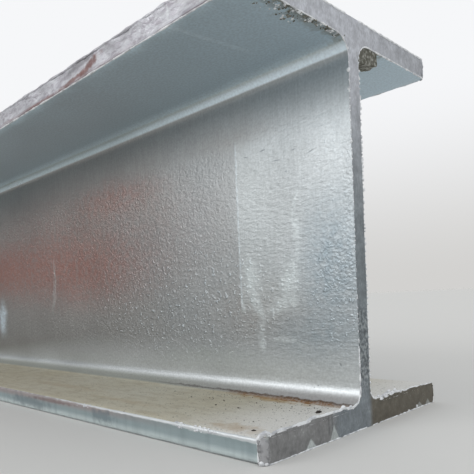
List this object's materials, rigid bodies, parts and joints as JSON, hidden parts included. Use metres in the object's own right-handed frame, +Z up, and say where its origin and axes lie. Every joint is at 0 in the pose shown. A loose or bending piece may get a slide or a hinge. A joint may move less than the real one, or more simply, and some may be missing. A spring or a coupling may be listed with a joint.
{
  "type": "steel h-beam",
  "caption": "Hot-dip galvanised wide-flange steel H-beam, rolled with parallel flanges and rounded web roots, square sawn ends, full stock length.",
  "frame": {"origin": "middle of the footprint, on the underside of the bottom flange", "axes": "+X along the beam towards the dressed sawn end that the picture shows, +Y across the flanges, +Z up through the web from bottom flange to top flange"},
  "size_m": [6, 0.203, 0.256],
  "materials": {
    "galvanised_steel": "hot-dip galvanised, satin zinc with dross beads on the cut edges, pale weathering on the end face, dust and light rust stain on the bottom flange"
  },
  "bodies": {
    "root": {"h_beam": "galvanised_steel"}
  },
  "joints": []
}
